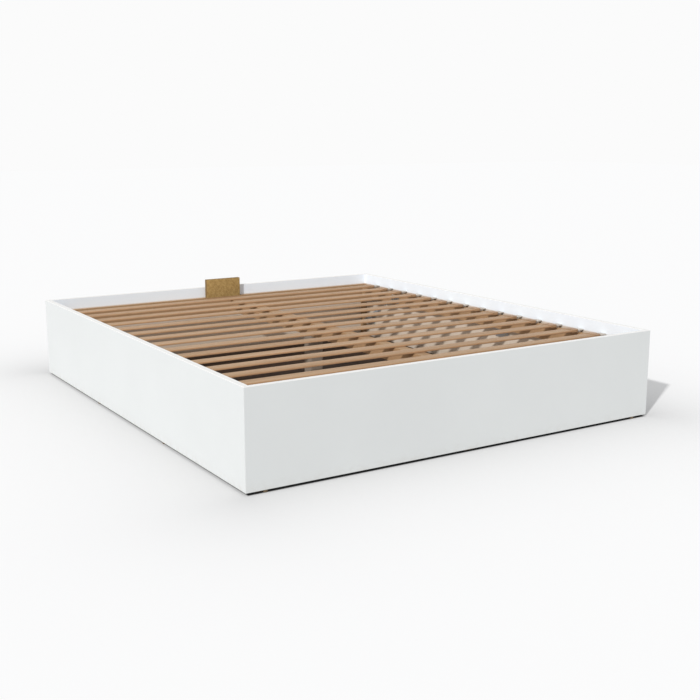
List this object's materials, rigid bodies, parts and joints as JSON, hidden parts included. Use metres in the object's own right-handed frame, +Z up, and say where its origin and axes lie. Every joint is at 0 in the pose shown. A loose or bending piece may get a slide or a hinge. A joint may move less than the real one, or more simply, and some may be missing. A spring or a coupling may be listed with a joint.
{
  "type": "storage bed",
  "caption": "Low white box bed with an open storage space under a slatted base that lifts at the foot on pins near the head, held up by gas struts.",
  "frame": {"origin": "on the floor, under the middle of the box", "axes": "+X to the right seen from the foot, +Y from the foot to the head, +Z up"},
  "size_m": [1.85, 2.113, 0.4035],
  "materials": {
    "lacquer": "white satin lacquer on board",
    "beech": "bare beech",
    "spruce": "planed, bare",
    "chipboard": "raw chipboard",
    "hardboard": "dark brown hardboard",
    "post": "grey-brown stained wood",
    "glide": "moulded brown plastic",
    "zinc": "zinc plated",
    "grey_steel": "grey powder coat",
    "chrome": "hard chrome"
  },
  "bodies": {
    "box": {"foot_panel": "lacquer", "head_panel": "lacquer", "left_side_panel": "lacquer", "right_side_panel": "lacquer", "bottom_board_left": "hardboard", "floor_strip_left": "spruce", "bottom_board_right": "hardboard", "floor_strip_right": "spruce", "floor_strip_centre": "spruce", "glide_foot_left": "glide", "glide_head_left": "glide", "glide_left_1": "glide", "glide_left_2": "glide", "glide_foot_right": "glide", "glide_head_right": "glide", "glide_right_1": "glide", "glide_right_2": "glide", "corner_block_foot_left": "spruce", "corner_block_head_left": "spruce", "corner_block_foot_right": "spruce", "corner_block_head_right": "spruce", "centre_leg": "post", "head_ledge": "spruce", "head_plate": "chipboard", "hinge_plate_left": "zinc", "hinge_plate_right": "zinc", "strut_box_mount_left": "zinc", "strut_box_mount_right": "zinc", "rest_angle_foot_left": "zinc", "rest_angle_left": "zinc", "rest_angle_foot_right": "zinc", "rest_angle_right": "zinc"},
    "lift_frame": {"frame_rail_left": "spruce", "frame_rail_right": "spruce", "frame_rail_foot": "spruce", "frame_rail_head": "spruce", "frame_rail_centre": "spruce", "slat_01": "beech", "slat_02": "beech", "slat_03": "beech", "slat_04": "beech", "slat_05": "beech", "slat_06": "beech", "slat_07": "beech", "slat_08": "beech", "slat_09": "beech", "slat_10": "beech", "slat_11": "beech", "slat_12": "beech", "slat_13": "beech", "slat_14": "beech", "slat_15": "beech", "strut_frame_mount_left": "zinc", "strut_frame_mount_right": "zinc"},
    "cylinder_left": {"strut_cylinder_left": "grey_steel"},
    "rod_left": {"strut_rod_left": "chrome"},
    "cylinder_right": {"strut_cylinder_right": "grey_steel"},
    "rod_right": {"strut_rod_right": "chrome"}
  },
  "joints": [
    {"name": "frame_lift", "type": "hinge", "parent": "box", "child": "lift_frame", "pos_m": [0, 0.9955, 0.2908], "axis": [-1, 0, 0], "range_deg": [0, 38]},
    {"name": "cylinder_left_swing", "type": "hinge", "parent": "box", "child": "cylinder_left", "pos_m": [-0.8481, 0.9555, 0.1108], "axis": [-1, 0, 0], "range_deg": [0, 29.5]},
    {"name": "rod_left_slide", "type": "slide", "parent": "cylinder_left", "child": "rod_left", "axis": [0, -0.8716, 0.4903], "range_m": [0, 0.107]},
    {"name": "cylinder_right_swing", "type": "hinge", "parent": "box", "child": "cylinder_right", "pos_m": [0.8481, 0.9555, 0.1108], "axis": [-1, 0, 0], "range_deg": [0, 29.5]},
    {"name": "rod_right_slide", "type": "slide", "parent": "cylinder_right", "child": "rod_right", "axis": [0, -0.8716, 0.4903], "range_m": [0, 0.107]}
  ],
  "couplings": [
    {"joint": "cylinder_left_swing", "follows": "frame_lift", "ratio": 0.761},
    {"joint": "rod_left_slide", "follows": "frame_lift", "m_per_rad": 0.1592},
    {"joint": "cylinder_right_swing", "follows": "frame_lift", "ratio": 0.761},
    {"joint": "rod_right_slide", "follows": "frame_lift", "m_per_rad": 0.1592}
  ]
}
